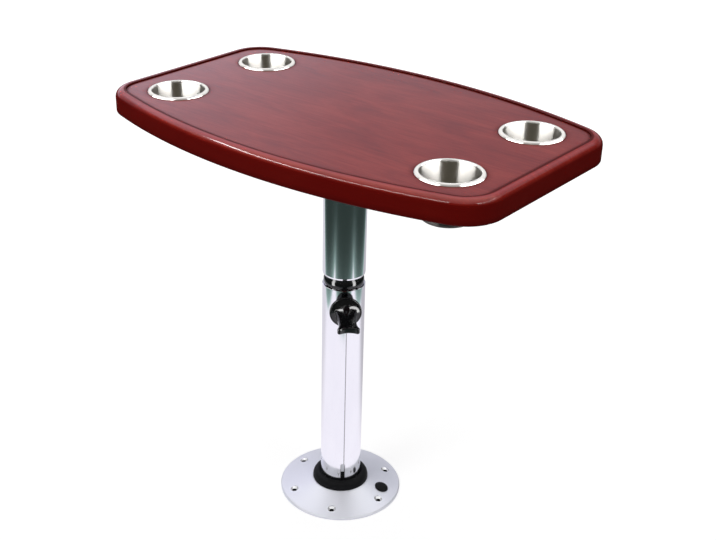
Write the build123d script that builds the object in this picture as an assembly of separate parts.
from build123d import *
import os
from math import cos, hypot, pi, radians, sin, sqrt

# Single pole camper table. Millimetres and degrees, +Z up, X along the table's length.
# The origin is on the pole's axis, at the floor. Front is -Y and left is -X.

# Table top: a board with bowed long sides, straight ends and a raised rim
top_length = 612.0
top_mid_width = 392.0
top_end_width = 284.0
top_corner_radius = 53.0
top_thickness = 31.0
rim_width = 15.0
rim_step = 1.8
rim_outer_round = 10.5
rim_inner_round = 1.2
top_lower_round = 2.5

# Cup holders: drawn steel cups, hung in the top by a rounded flange
cup_end_inset = 82.5
cup_side_inset = 54.5
cup_flange_diameter = 82.6
cup_mouth_diameter = 71.4
cup_floor_diameter = 66.0
cup_depth = 55.0
cup_sheet = 1.0
cup_crown = 2.7
cup_lip_round = 1.8
cup_floor_round = 6.0
cup_hole_clearance = 1.4

# Pole tubes
tube_diameter = 60.0
tube_wall = 2.5
tube_end_chamfer = 0.3
tube_end_taper = 0.4
tube_end_lead = 2.2
lower_tube_length = 345.0
upper_tube_length = 198.0
inner_tube_diameter = 50.0
inner_tube_wall = 2.5
running_clearance = 0.05
end_gap = 0.3

# Lower tube: witness line outside, keyway inside, and key slot with a run-out at the foot
witness_angle = -41.5
witness_width = 1.2
witness_depth = 0.4
keyway_angle = 135.5
keyway_width = 4.0
keyway_depth = 1.0
key_clearance = 0.15
foot_slot_angle = -44.5
foot_slot_width = 6.5
foot_slot_top = 41.5
foot_slot_runout = 15.5

# Collar on top of the lower tube, with a skirt inside it
collar_ring_diameter = 57.0
collar_ring_height = 12.0
collar_neck_diameter = 54.0
collar_neck_height = 4.0
collar_skirt_length = 60.0

# Joint of the inner tube and the upper tube
sleeve_setback = 2.0
sleeve_length = 75.0

# Foot of the inner tube: plug with a spindle, keyed glide bush, washer and bolt
plug_insert_length = 30.0
spindle_diameter = 36.0
glide_length = 30.0
washer_diameter = 46.0
washer_thickness = 2.0
bolt_diameter = 8.0
bolt_grip = 22.0
bolt_head_flats = 13.0
bolt_head_height = 5.4
foot_room = 25.0

# Clamp: a wing knob on a screw that presses a pad against the inner tube
knob_angle = -46.0
clamp_drop = 28.0
screw_diameter = 8.0
screw_pitch = 1.25
screw_turns = 2.0
pad_diameter = 14.0
pad_thickness = 3.5
pad_side_clearance = 0.3
pad_socket_depth = 2.0
stud_tip_diameter = 5.8
stud_reach = 17.0
boss_diameter = 20.0
boss_thread_length = 4.4
boss_setback = 0.2
knob_gap = 0.4
knob_flange_diameter = 44.8
knob_flange_thickness = 3.6
knob_flange_round = 1.2
knob_length = 56.8
knob_flare_diameter = 40.8
knob_flare_length = 22.0
knob_flare_tip = 8.8
knob_blend = 1.0
knob_root_width = 30.0
knob_root_thickness = 14.0
knob_neck_width = 24.2
knob_neck_setback = 16.0
knob_ear_width = 29.6
knob_ear_setback = 4.2
knob_ear_round = 3.4
knob_end_hollow = 3.2
knob_paddle_thickness = 9.0
knob_paddle_flat = 27.0
knob_edge_round = 2.2

# Table mount: flanged socket under the top, with its screws
mount_diameter = 170.0
mount_thickness = 5.0
mount_hub_wall = 6.0
mount_hub_height = 42.0
mount_hub_fillet = 10.0
mount_bore_diameter = 40.0
mount_screw_pcd = 144.0
mount_screw_count = 6
mount_screw_diameter = 4.2
mount_screw_hole_clearance = 0.5
mount_screw_depth = 18.0
mount_screw_head_diameter = 9.0
mount_screw_head_height = 2.8
set_screw_diameter = 6.0
set_screw_socket = 3.0
set_screw_angles = (100.0, 170.0)

# Base plate: dished casting with countersunk screw holes
base_diameter = 181.5
base_edge = 4.2
base_bevel = 1.5
base_land_height = 16.0
base_land_width = 7.4
base_wall = 3.0
base_hub_wall = 5.0
base_foot_width = 10.0
dish_radius = 290.0
rib_thickness = 3.0
rib_angles = (90.0, 150.0, 210.0, 270.0, 330.0)
base_screw_pcd = 148.0
base_screw_count = 6
base_screw_hole = 6.5
base_screw_sink = 12.4
base_screw_boss = 15.0

# Base bushing: socket for the pole's foot, with a ring on top
slip_clearance = 0.1
bushing_wall = 5.0
bushing_floor = 2.4
bushing_floor_gap = 0.6
bushing_drain_diameter = 24.0
bushing_ring_overhang = 6.4
bushing_ring_height = 12.0
bushing_ring_edge = 2.0
bushing_ring_top = 2.0
foot_plug_height = 42.0
foot_plug_wall = 4.0

# Release: a domed button pushes a latch bolt outwards along one radius of the base
button_angle = 20.5
button_radius = 66.0
button_diameter = 19.4
button_proud = 4.0
button_dome_sag = 2.4
button_side_clearance = 0.2
button_travel = 2.0
button_leg_width = 8.0
button_leg_length = 7.0
lip_width = 5.4
lip_length = 6.0
lip_thickness = 0.9
latch_width = 12.0
latch_engagement = 1.7
latch_nose_thickness = 3.5
latch_nose_height = 6.5
latch_tail_thickness = 2.0
latch_web = 3.0
latch_end_margin = 4.0
latch_clearance = 0.3
ramp_gap = 0.3
spring_wire = 0.7
spring_diameter = 4.2
spring_length = 9.0
spring_turns = 5
spring_post = 2.0
cover_thickness = 1.0
cover_gap = 0.2
cover_width = 33.0
cover_corner = 6.0
cover_fit = 0.3
cover_screw_diameter = 3.0
cover_screw_head = 5.6
cover_screw_boss = 8.0
cover_screw_length = 2.8
cover_screw_spread = 26.0

# Worked out: radii
tube_r = tube_diameter / 2
tube_bore_r = tube_r - tube_wall
inner_r = inner_tube_diameter / 2
inner_bore_r = inner_r - inner_tube_wall
bushing_bore_r = tube_r + slip_clearance
bushing_r = bushing_bore_r + bushing_wall
bushing_ring_r = bushing_r + bushing_ring_overhang
hub_r = bushing_r + base_hub_wall
land_r = bushing_r + base_land_width
base_r = base_diameter / 2
foot_r = base_r - base_foot_width

# Worked out: heights up the pole
cover_top = cover_gap + cover_thickness
pole_foot = bushing_floor_gap + bushing_floor
lower_tube_top = pole_foot + lower_tube_length
collar_top = lower_tube_top + collar_ring_height + collar_neck_height
skirt_foot = lower_tube_top - collar_skirt_length
clamp_height = lower_tube_top - clamp_drop
upper_tube_foot = collar_top + end_gap
upper_tube_top = upper_tube_foot + upper_tube_length
top_underside = upper_tube_top + mount_thickness
rim_top = top_underside + top_thickness
panel_top = rim_top - rim_step

# Worked out: heights of the telescoping foot, and how far it can rise
bolt_head_foot = pole_foot + foot_plug_height + foot_room
washer_foot = bolt_head_foot + bolt_head_height
spindle_foot = washer_foot + washer_thickness
glide_foot = spindle_foot + end_gap
glide_top = glide_foot + glide_length
inner_tube_foot = glide_top + end_gap
sleeve_foot = upper_tube_foot + sleeve_setback
inner_tube_top = sleeve_foot + sleeve_length
height_travel = skirt_foot - glide_top - end_gap

# Worked out: distances from the pole's axis along the clamp screw
pad_face = inner_r + end_gap
pad_back = pad_face + pad_thickness
pad_retreat = screw_pitch * screw_turns
boss_back = tube_bore_r + boss_setback
boss_counterbore = pad_back + pad_retreat + end_gap
boss_front = boss_counterbore + boss_thread_length
flange_back = boss_front + knob_gap
flange_front = flange_back + knob_flange_thickness
knob_end = flange_back + knob_length

# Worked out: distances along the latch's radius, and heights of the latch
nose_tip = tube_r - latch_engagement
web_inner = hub_r + latch_clearance * 3
web_outer = web_inner + latch_web
post_inner = web_outer + spring_length
tail_low = cover_top + cover_gap
tail_top = tail_low + latch_tail_thickness
nose_top = latch_nose_height + latch_nose_thickness
button_low = tail_top + latch_clearance + button_travel
leg_low = cover_top + button_travel + cover_gap * 2
leg_inner = button_radius - button_leg_length / 2
leg_outer = button_radius + button_leg_length / 2
tail_end = button_radius + button_leg_length / 2 + latch_end_margin - button_travel
cover_inner = hub_r + latch_clearance * 4
cover_outer = base_r - base_foot_width / 2
cover_screw_inner = post_inner - cover_screw_boss / 2
cover_screw_outer = foot_r + base_foot_width / 5

BASE = (Align.CENTER, Align.CENTER, Align.MIN)
CORNER = (Align.MIN, Align.MIN, Align.MIN)


def rod(radius, low, high):
    """Upright round bar on the pole's axis."""
    return Pos(0, 0, low) * Cylinder(radius, high - low, align=BASE)


def tube(outer, inner, low, high):
    """Upright tube on the pole's axis."""
    return rod(outer, low, high) - rod(inner, low, high)


def bar(radius, start, end):
    """Round bar along +X, from one distance to another."""
    return Pos(start, 0, 0) * Rot(0, 90, 0) * Cylinder(radius, end - start, align=BASE)


def slab(x_low, x_high, width, z_low, z_high):
    """Box along +X, centred across Y."""
    block = Box(x_high - x_low, width, z_high - z_low, align=CORNER)
    return Pos(x_low, -width / 2, z_low) * block


def turned(*edges):
    """Solid turned about the pole's axis, from a closed profile of radius and height."""
    return revolve(Plane.XZ * make_face(Curve() + list(edges)), Axis.Z)


def around(count, radius, start=0.0):
    """Places on a circle about the pole's axis."""
    step = 360.0 / count
    turns = [radians(start + step * i) for i in range(count)]
    return [Pos(radius * cos(t), radius * sin(t), 0) for t in turns]


def facing(angle, height=0.0):
    """Frame whose X axis points away from the pole at an angle."""
    return Pos(0, 0, height) * Rot(0, 0, angle)


def quarter(start, end, centre, radius):
    """Round corner from start to end, about a centre, on the side away from it."""
    middle = Vector(*start) + Vector(*end) - Vector(*centre) * 2
    return ThreePointArc(start, Vector(*centre) + middle.normalized() * radius, end)


def dish_height(radius):
    """Height of the base plate's dished face at a radius."""
    run = base_r - base_bevel - land_r
    drop = base_land_height - base_edge
    chord = hypot(run, drop)
    lift = sqrt(dish_radius**2 - chord**2 / 4)
    centre_r = (land_r + base_r - base_bevel) / 2 + lift * drop / chord
    centre_z = (base_land_height + base_edge) / 2 + lift * run / chord
    return centre_z - sqrt(dish_radius**2 - (radius - centre_r) ** 2)


def dish_slope(radius):
    """Fall of the dished face, in height per unit of radius."""
    return dish_height(radius - 0.5) - dish_height(radius + 0.5)


# Table top

def top_outline():
    """Plan of the top: a rectangle trimmed by two long arcs, with round corners."""
    bow = (top_mid_width - top_end_width) / 2
    side_radius = ((top_length / 2) ** 2 + bow**2) / (2 * bow)
    plan = Rectangle(top_length, top_mid_width)
    for side in (1, -1):
        plan &= Pos(0, side * (top_mid_width / 2 - side_radius)) * Circle(side_radius)
    return fillet(plan.vertices(), top_corner_radius)


def cup_places():
    """Cup centres on the panel, by name."""
    x = top_length / 2 - cup_end_inset
    y = top_end_width / 2 - cup_side_inset
    return {
        "front_left": Pos(-x, -y, panel_top),
        "front_right": Pos(x, -y, panel_top),
        "rear_left": Pos(-x, y, panel_top),
        "rear_right": Pos(x, y, panel_top),
    }


def make_table_top():
    plan = top_outline()
    board = Pos(0, 0, top_underside) * extrude(plan, top_thickness)
    board = fillet(board.edges().group_by(Axis.Z)[-1], rim_outer_round)
    board = fillet(board.edges().group_by(Axis.Z)[0], top_lower_round)
    board -= Pos(0, 0, panel_top) * extrude(offset(plan, -rim_width), rim_step)
    rim_face = board.faces().sort_by(Axis.Z)[-1]
    board = fillet(rim_face.inner_wires()[0].edges(), rim_inner_round)
    cup_hole_r = cup_mouth_diameter / 2 + cup_sheet + cup_hole_clearance
    for place in cup_places().values():
        board -= place * rod(cup_hole_r, -2 * top_thickness, rim_step)
    pilot = rod(mount_screw_diameter / 2, top_underside, top_underside + mount_screw_depth)
    for place in around(mount_screw_count, mount_screw_pcd / 2):
        board -= place * pilot
    return board


def make_cup():
    flange_r = cup_flange_diameter / 2
    mouth_r = cup_mouth_diameter / 2
    floor_r = cup_floor_diameter / 2
    crown_r = mouth_r + cup_lip_round
    lip_z = cup_crown - cup_lip_round
    turn_r = floor_r - cup_floor_round
    turn_z = cup_floor_round - cup_depth
    outer_z = -cup_depth - cup_sheet
    return turned(
        TangentArc((crown_r, cup_crown), (flange_r, 0), tangent=(1, 0)),
        quarter((crown_r, cup_crown), (mouth_r, lip_z), (crown_r, lip_z), cup_lip_round),
        Line((mouth_r, lip_z), (floor_r, turn_z)),
        quarter((floor_r, turn_z), (turn_r, -cup_depth), (turn_r, turn_z), cup_floor_round),
        Polyline((turn_r, -cup_depth), (0, -cup_depth), (0, outer_z), (turn_r, outer_z)),
        quarter(
            (turn_r, outer_z),
            (floor_r + cup_sheet, turn_z),
            (turn_r, turn_z),
            cup_floor_round + cup_sheet,
        ),
        Polyline((floor_r + cup_sheet, turn_z), (mouth_r + cup_sheet, 0), (flange_r, 0)),
    )


# Table mount and its screws

def make_table_mount():
    hub_outer = tube_r + mount_hub_wall
    hub_foot = top_underside - mount_hub_height
    plate_low = top_underside - mount_thickness
    plate_r = mount_diameter / 2
    bore_r = mount_bore_diameter / 2
    neck_z = plate_low - mount_hub_fillet
    neck_r = hub_outer + mount_hub_fillet
    mount = turned(
        Polyline((tube_r, hub_foot), (hub_outer, hub_foot), (hub_outer, neck_z)),
        quarter((hub_outer, neck_z), (neck_r, plate_low), (neck_r, neck_z), mount_hub_fillet),
        Polyline(
            (neck_r, plate_low),
            (plate_r, plate_low),
            (plate_r, top_underside),
            (bore_r, top_underside),
            (bore_r, upper_tube_top),
        ),
        Polyline((bore_r, upper_tube_top), (tube_r, upper_tube_top), (tube_r, hub_foot)),
    )
    screw_hole_r = mount_screw_diameter / 2 + mount_screw_hole_clearance
    for place in around(mount_screw_count, mount_screw_pcd / 2):
        mount -= place * rod(screw_hole_r, plate_low, top_underside)
    for angle in set_screw_angles:
        mount -= facing(angle, set_screw_height()) * bar(set_screw_diameter / 2, tube_r - 1, hub_outer + 1)
    return mount


def set_screw_height():
    """Height of the set screws, halfway up the straight part of the hub."""
    straight = mount_hub_height - mount_thickness - mount_hub_fillet
    return top_underside - mount_hub_height + straight / 2


def make_table_screws():
    plate_low = top_underside - mount_thickness
    shank_r = mount_screw_diameter / 2
    head_r = mount_screw_head_diameter / 2
    head_z = plate_low - mount_screw_head_height
    tip_z = top_underside + mount_screw_depth
    dome = Vector(head_r * sin(pi / 4), plate_low - mount_screw_head_height * sin(pi / 4))
    screw = turned(
        ThreePointArc((0, head_z), dome, (head_r, plate_low)),
        Polyline((head_r, plate_low), (shank_r, plate_low), (shank_r, tip_z - shank_r * 2)),
        Polyline((shank_r, tip_z - shank_r * 2), (0, tip_z), (0, head_z)),
    )
    slot_depth = mount_screw_head_height / 2
    for turn in (0, 90):
        screw -= Pos(0, 0, head_z) * Rot(0, 0, turn) * Box(head_r, shank_r / 2, slot_depth * 2)
    places = around(mount_screw_count, mount_screw_pcd / 2)
    return Compound(children=[place * screw for place in places])


def make_set_screws():
    length = mount_hub_wall - 1
    screw = bar(set_screw_diameter / 2, tube_r, tube_r + length)
    key = Rot(0, 90, 0) * extrude(RegularPolygon(set_screw_socket / 2, 6, major_radius=False), length / 2)
    screw -= Pos(tube_r + length / 2, 0, 0) * key
    return Compound(children=[facing(a, set_screw_height()) * screw for a in set_screw_angles])


# Pole

def make_upper_tube():
    return turned(
        Polyline(
            (tube_bore_r, upper_tube_foot),
            (tube_r - tube_end_taper, upper_tube_foot),
            (tube_r, upper_tube_foot + tube_end_lead),
            (tube_r, upper_tube_top),
            (tube_bore_r, upper_tube_top),
            close=True,
        )
    )


def make_coupling_sleeve():
    return tube(tube_bore_r, inner_r, sleeve_foot, inner_tube_top)


def make_inner_tube():
    return tube(inner_r, inner_bore_r, inner_tube_foot, inner_tube_top)


def make_end_plug():
    plug = rod(inner_bore_r, inner_tube_foot, inner_tube_foot + plug_insert_length)
    plug += rod(spindle_diameter / 2, spindle_foot, inner_tube_foot)
    return plug - rod(bolt_diameter / 2, spindle_foot, spindle_foot + bolt_grip)


def make_glide_bush():
    bush_r = tube_bore_r - running_clearance
    bush = rod(bush_r, glide_foot, glide_top)
    key_end = tube_bore_r + keyway_depth - key_clearance
    key_width = keyway_width - 2 * key_clearance
    bush += facing(keyway_angle) * slab(bush_r - 2, key_end, key_width, glide_foot, glide_top)
    return bush - rod(spindle_diameter / 2 + running_clearance, glide_foot, glide_top)


def make_retaining_washer():
    return tube(washer_diameter / 2, bolt_diameter / 2, washer_foot, spindle_foot)


def make_retaining_bolt():
    head = extrude(RegularPolygon(bolt_head_flats / 2, 6, major_radius=False), bolt_head_height)
    return Pos(0, 0, bolt_head_foot) * head + rod(bolt_diameter / 2, washer_foot, spindle_foot + bolt_grip)


def make_lower_tube():
    pipe = tube(tube_r, tube_bore_r, pole_foot, lower_tube_top)
    rim = pipe.edges().group_by(Axis.Z)[-1].sort_by(SortBy.RADIUS)[-1]
    pipe = chamfer(rim, tube_end_chamfer)
    keyway_r = tube_bore_r + keyway_depth
    keyway = slab(tube_bore_r - 2, keyway_r, keyway_width, pole_foot, lower_tube_top)
    witness_r = tube_r - witness_depth
    witness = slab(witness_r, tube_r + 1, witness_width, pole_foot, lower_tube_top)
    pipe -= facing(keyway_angle) * keyway
    pipe -= facing(witness_angle) * witness
    pipe -= facing(foot_slot_angle) * foot_slot()
    pipe -= facing(knob_angle, clamp_height) * bar(boss_diameter / 2, tube_bore_r - 5, tube_r + 1)
    return pipe - facing(button_angle) * latch_way(nose_tip - latch_clearance, tube_r + 1)


def foot_slot():
    """Slot through the wall at the foot, whose cutter ran out upwards through the wall."""
    rise = foot_slot_runout / tube_wall
    inside = tube_bore_r - 2
    outside = tube_r + 1
    side = Polyline(
        (inside, pole_foot),
        (outside, pole_foot),
        (outside, foot_slot_top + foot_slot_runout + rise),
        (inside, foot_slot_top - 2 * rise),
        close=True,
    )
    return extrude(Plane.XZ * make_face(side), foot_slot_width / 2, both=True)


def make_collar():
    bore_r = inner_r + running_clearance
    ring_r = collar_ring_diameter / 2
    neck_r = collar_neck_diameter / 2
    ring_top = lower_tube_top + collar_ring_height
    ring_middle = lower_tube_top + collar_ring_height / 2
    ring_foot_r = tube_bore_r + (ring_r - tube_bore_r) / 4
    collar = turned(
        Polyline((bore_r, skirt_foot), (tube_bore_r, skirt_foot), (tube_bore_r, lower_tube_top)),
        Line((tube_bore_r, lower_tube_top), (ring_foot_r, lower_tube_top)),
        TangentArc((ring_r, ring_middle), (ring_foot_r, lower_tube_top), tangent=(0, -1)),
        TangentArc((ring_r, ring_middle), (neck_r, ring_top), tangent=(0, 1)),
        Polyline((neck_r, ring_top), (neck_r, collar_top), (bore_r, collar_top), (bore_r, skirt_foot)),
    )
    pad_way_r = pad_diameter / 2 + pad_side_clearance
    return collar - facing(knob_angle, clamp_height) * bar(pad_way_r, inner_r - 5, tube_r)


# Clamp, built along +X and turned into place

def make_clamp_boss():
    boss = bar(boss_diameter / 2, boss_back, boss_front)
    boss -= bar(pad_diameter / 2 + pad_side_clearance, boss_back, boss_counterbore)
    boss -= bar(screw_diameter / 2 + running_clearance, boss_back, boss_front)
    return facing(knob_angle, clamp_height) * boss


def make_clamp_pad():
    pad = bar(pad_diameter / 2, inner_r / 2, pad_back)
    pad -= rod(pad_face, -pad_diameter, pad_diameter)
    pad -= bar(stud_tip_diameter / 2 + running_clearance, pad_back - pad_socket_depth, pad_back)
    return facing(knob_angle, clamp_height) * pad


def make_knob_stud():
    tip_start = pad_back - pad_socket_depth + running_clearance
    thread_start = pad_back + end_gap
    stud = bar(stud_tip_diameter / 2, tip_start, thread_start)
    stud += bar(screw_diameter / 2, thread_start, flange_back + stud_reach)
    return facing(knob_angle, clamp_height) * stud


def paddle_plan():
    """Plan of the paddle: wide root, narrow neck, flared ears and a hollow end."""
    neck_x = knob_end - knob_neck_setback
    ear_x = knob_end - knob_ear_setback
    root = (flange_front, knob_root_width / 2)
    neck = (neck_x, knob_neck_width / 2)
    ear = (ear_x, knob_ear_width / 2)
    tip = (knob_end, knob_ear_width / 2 - knob_ear_round)
    root_arc = TangentArc(neck, root, tangent=(-1, 0))
    flare_arc = TangentArc(neck, ear, tangent=(1, 0))
    ear_arc = TangentArc(ear, tip, tangent=flare_arc % 1)
    side = Curve() + [root_arc, flare_arc, ear_arc]
    end_arc = ThreePointArc(tip, (knob_end - knob_end_hollow, 0), (tip[0], -tip[1]))
    root_line = Line(root, (root[0], -root[1]))
    return make_face(Curve() + [side, mirror(side, Plane.XZ), end_arc, root_line])


def paddle_side():
    """Side view of the paddle: thick root that thins to a flat grip."""
    flat_x = knob_end - knob_paddle_flat
    root = (flange_front, knob_root_thickness / 2)
    flat = (flat_x, knob_paddle_thickness / 2)
    tip = (knob_end, knob_paddle_thickness / 2)
    upper = Curve() + [TangentArc(flat, root, tangent=(-1, 0)), Line(flat, tip)]
    ends = [Line(root, (root[0], -root[1])), Line(tip, (tip[0], -tip[1]))]
    return make_face(Curve() + [upper, mirror(upper, Plane.XZ)] + ends)


def knob_hub():
    """Disc of the knob, with a turned flare that narrows towards the paddle."""
    flare_end = flange_front + knob_flare_length
    flare_root = (flange_front, knob_flare_diameter / 2)
    flare_tip = (flare_end, knob_flare_tip / 2)
    arc = TangentArc(flare_tip, flare_root, tangent=(-1, 0))
    rest = Polyline(flare_root, (flange_front, 0), (flare_end, 0), flare_tip)
    flare = revolve(make_face(Curve() + [arc, rest]), Axis.X)
    disc = bar(knob_flange_diameter / 2, flange_back, flange_front)
    return fillet(disc.edges().sort_by(Axis.X)[-1], knob_flange_round) + flare


def make_wing_knob():
    plan = extrude(paddle_plan(), knob_root_thickness, both=True)
    side = extrude(Plane.XZ * paddle_side(), knob_root_width, both=True)
    paddle = plan & side
    root_face = paddle.faces().sort_by(Axis.X)[0]
    paddle = fillet(paddle.edges() - root_face.edges(), knob_edge_round)
    hub = knob_hub()
    knob = hub + paddle
    knob = fillet(new_edges(hub, paddle, combined=knob), knob_blend)
    knob -= bar(screw_diameter / 2, flange_back, flange_back + stud_reach)
    return facing(knob_angle, clamp_height) * knob


# Base

def make_dish():
    """Base plate as a full disc, with the dished upper face."""
    edge_r = base_r - base_bevel
    middle_r = (land_r + edge_r) / 2
    return turned(
        Polyline((0, 0), (base_r, 0), (base_r, base_edge - base_bevel), (edge_r, base_edge)),
        ThreePointArc(
            (edge_r, base_edge), (middle_r, dish_height(middle_r)), (land_r, base_land_height)
        ),
        Polyline((land_r, base_land_height), (0, base_land_height), (0, 0)),
    )


def make_base_plate():
    dish = make_dish()
    hollow = Pos(0, 0, -base_wall) * dish
    hollow &= tube(foot_r, hub_r, -base_wall, base_land_height)
    inside = rod(base_screw_boss / 2, 0, base_land_height)
    stiffening = [place * inside for place in around(base_screw_count, base_screw_pcd / 2)]
    rib = slab(hub_r - 1, foot_r + 1, rib_thickness, 0, base_land_height)
    stiffening += [facing(angle) * rib for angle in rib_angles]
    latch = facing(button_angle)
    stiffening += [latch * place * rod(cover_screw_boss / 2, cover_top, base_land_height)
                   for place in cover_screw_places()[:2]]
    post_end = post_inner + spring_post
    post_low = tail_top + latch_clearance
    stiffening.append(latch * slab(post_inner, post_end, latch_width, post_low, base_land_height))
    plate = dish - hollow
    for piece in stiffening:
        plate += piece & dish
    plate -= rod(bushing_r, 0, base_land_height)
    screw_z = dish_height(base_screw_pcd / 2)
    sink_r = base_screw_sink / 2
    hole_r = base_screw_hole / 2
    sink = Pos(0, 0, screw_z - (sink_r - hole_r)) * Cone(hole_r, sink_r, sink_r - hole_r, align=BASE)
    hole = rod(hole_r, 0, screw_z) + sink + rod(sink_r, screw_z, base_land_height)
    for place in around(base_screw_count, base_screw_pcd / 2):
        plate -= place * hole
    button_way = rod(button_diameter / 2 + button_side_clearance, 0, base_land_height)
    plate -= latch * Pos(button_radius, 0, 0) * button_way
    plate -= latch * latch_way(bushing_r - 1, hub_r + 1)
    plate -= latch * cover_blank(cover_fit, 0, cover_top)
    for place in cover_screw_places():
        plate -= latch * place * rod(cover_screw_diameter / 2, cover_top, cover_top + cover_screw_length)
    return plate


def make_base_bushing():
    ring_top = base_land_height + bushing_ring_height
    ring_edge = base_land_height + bushing_ring_edge
    crest_r = bushing_bore_r + bushing_ring_top * 2
    lead_in = ring_top - bushing_ring_top
    drain_r = bushing_drain_diameter / 2
    bushing = turned(
        Polyline(
            (drain_r, bushing_floor_gap),
            (bushing_r, bushing_floor_gap),
            (bushing_r, base_land_height),
            (bushing_ring_r, base_land_height),
            (bushing_ring_r, ring_edge),
        ),
        TangentArc((bushing_ring_r, ring_edge), (crest_r, ring_top), tangent=(0, 1)),
        Polyline((crest_r, ring_top), (bushing_bore_r + bushing_ring_top, ring_top)),
        Polyline((bushing_bore_r + bushing_ring_top, ring_top), (bushing_bore_r, lead_in)),
        Polyline((bushing_bore_r, lead_in), (bushing_bore_r, pole_foot), (drain_r, pole_foot)),
        Line((drain_r, pole_foot), (drain_r, bushing_floor_gap)),
    )
    key_width = foot_slot_width - 2 * slip_clearance
    key = slab(tube_bore_r + slip_clearance, bushing_bore_r + 1, key_width, pole_foot, lead_in)
    bushing += facing(foot_slot_angle) * key
    return bushing - facing(button_angle) * latch_way(bushing_bore_r - 1, bushing_r + 1)


def make_foot_plug():
    top = pole_foot + foot_plug_height
    plug = rod(tube_bore_r, pole_foot, top)
    return plug - rod(tube_bore_r - foot_plug_wall, pole_foot + foot_plug_wall, top)


# Latch, built along +X and turned to the button's radius

def latch_way(start, end):
    """Clearance for the latch's nose."""
    width = latch_width + 2 * latch_clearance
    return slab(start, end, width, latch_nose_height - latch_clearance, nose_top + latch_clearance)


def ramp(start, lift, low, high):
    """Prism whose inner face rises outwards at 45 degrees, with its line through start at lift."""
    low_x = start + low - lift
    high_x = start + high - lift
    far = high_x + button_diameter
    face = make_face(Polyline((low_x, low), (far, low), (far, high), (high_x, high), close=True))
    return extrude(Plane.XZ * face, latch_width, both=True)


def make_latch_bolt():
    nose = slab(nose_tip, web_outer, latch_width, latch_nose_height, nose_top)
    web = slab(web_inner, web_outer, latch_width, tail_low, nose_top)
    tail = slab(web_inner, tail_end, latch_width, tail_low, tail_top)
    window_start = leg_inner - button_travel - latch_clearance
    window = slab(window_start, tail_end, button_leg_width + 2 * latch_clearance, tail_low, tail_top)
    ramp_start = leg_outer + ramp_gap * sqrt(2)
    window -= ramp(ramp_start, button_low, tail_low, tail_top)
    return facing(button_angle) * (nose + web + tail - window)


def make_release_button():
    radius = button_diameter / 2
    surface = dish_height(button_radius)
    tilt = dish_slope(button_radius)
    normal = Vector(tilt, 0, 1).normalized()
    dome_r = (radius**2 + button_dome_sag**2) / (2 * button_dome_sag)
    centre = Vector(button_radius, 0, surface) + normal * (button_proud - dome_r)
    dome = Pos(centre.X, centre.Y, centre.Z) * Sphere(dome_r)
    button = (Pos(button_radius, 0, 0) * rod(radius, button_low, base_land_height + button_proud)) & dome
    leg = slab(leg_inner, leg_outer, button_leg_width, leg_low, button_low)
    leg -= ramp(leg_outer, button_low, leg_low, button_low)
    button += leg
    lip_y = latch_width / 2 + latch_clearance * 2
    lip_reach = hypot(button_radius + lip_length / 2, lip_y + lip_width)
    lip_top = dish_height(lip_reach) - base_wall - latch_clearance
    lip = Box(lip_length, lip_width, lip_thickness, align=BASE)
    web_height = button_low - lip_top + lip_thickness
    web = Box(lip_length, radius * 0.85 - lip_y, web_height, align=(Align.CENTER, Align.MIN, Align.MIN))
    for side in (1, -1):
        at = Pos(button_radius, side * (lip_y + lip_width / 2), lip_top - lip_thickness)
        button += at * lip
        rooted = Pos(button_radius, lip_y, lip_top - lip_thickness) * web
        button += rooted if side > 0 else mirror(rooted, Plane.XZ)
    return facing(button_angle) * button


def make_latch_spring():
    coil_r = (spring_diameter - spring_wire) / 2
    start = web_outer + spring_wire / 2 + slip_clearance
    run = post_inner - spring_wire / 2 - start
    path = Helix(run / spring_turns, run, coil_r)
    wire = sweep(Plane(path @ 0, z_dir=path % 0) * Circle(spring_wire / 2), path)
    axis_z = tail_top + latch_clearance + spring_diameter / 2
    return facing(button_angle) * Pos(start, 0, axis_z) * Rot(0, 90, 0) * wire


def cover_screw_places():
    """Cover screws: two at the hub end, one at the outer end."""
    spread = cover_screw_spread / 2
    return [
        Pos(cover_screw_inner, spread, 0),
        Pos(cover_screw_inner, -spread, 0),
        Pos(cover_screw_outer, 0, 0),
    ]


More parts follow.
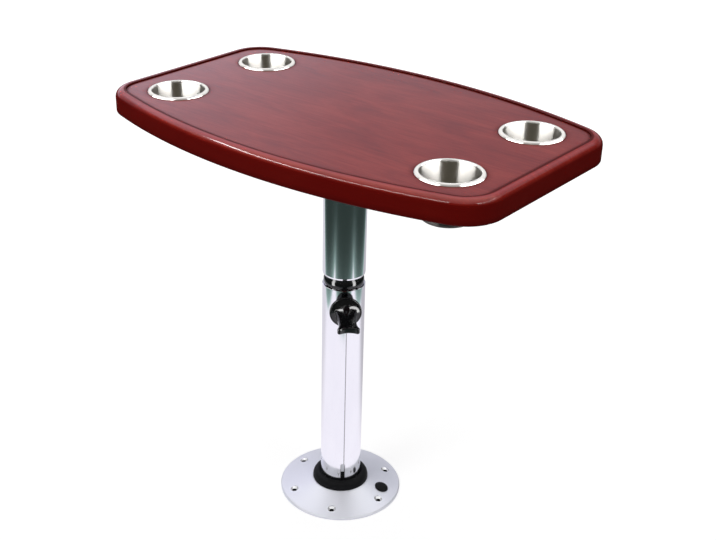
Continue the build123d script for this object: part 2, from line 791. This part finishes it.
def cover_blank(margin, low, high):
    """Outline of the latch cover, grown by a margin."""
    length = cover_outer - cover_inner + 2 * margin
    plan = RectangleRounded(length, cover_width + 2 * margin, cover_corner + margin)
    return Pos((cover_outer + cover_inner) / 2, 0, low) * extrude(plan, high - low)


def make_latch_cover():
    cover = cover_blank(0, cover_gap, cover_top)
    for place in cover_screw_places():
        cover -= place * screw_head()
    return facing(button_angle) * cover


def screw_head():
    """Countersunk head, as deep as the cover is thick."""
    cone = Cone(cover_screw_head / 2, cover_screw_diameter / 2, cover_thickness, align=BASE)
    return Pos(0, 0, cover_gap) * cone


def make_cover_screws():
    screw = screw_head() + rod(cover_screw_diameter / 2, cover_top, cover_top + cover_screw_length)
    screw -= Pos(0, 0, cover_gap) * Box(cover_screw_head, cover_thickness / 2, cover_thickness / 2)
    return Compound(children=[facing(button_angle) * place * screw for place in cover_screw_places()])


nodes = {
    "table_top": make_table_top(),
    "table_mount": make_table_mount(),
    "table_screws": make_table_screws(),
    "mount_set_screws": make_set_screws(),
    "upper_tube": make_upper_tube(),
    "coupling_sleeve": make_coupling_sleeve(),
    "inner_tube": make_inner_tube(),
    "end_plug": make_end_plug(),
    "glide_bush": make_glide_bush(),
    "retaining_washer": make_retaining_washer(),
    "retaining_bolt": make_retaining_bolt(),
    "lower_tube": make_lower_tube(),
    "collar": make_collar(),
    "clamp_boss": make_clamp_boss(),
    "clamp_pad": make_clamp_pad(),
    "knob_stud": make_knob_stud(),
    "wing_knob": make_wing_knob(),
    "base_plate": make_base_plate(),
    "base_bushing": make_base_bushing(),
    "foot_plug": make_foot_plug(),
    "latch_bolt": make_latch_bolt(),
    "release_button": make_release_button(),
    "latch_spring": make_latch_spring(),
    "latch_cover": make_latch_cover(),
    "cover_screws": make_cover_screws(),
}
for name, place in cup_places().items():
    nodes["cup_holder_" + name] = place * make_cup()

os.makedirs("parts", exist_ok=True)
for name, solid in nodes.items():
    export_step(solid, f"parts/{name}.step")

print(f"rim {rim_top:.1f} mm above the floor, rises {height_travel:.1f} mm")
print(f"clamp pad moves {pad_retreat:.2f} mm over {screw_turns:.0f} turns")
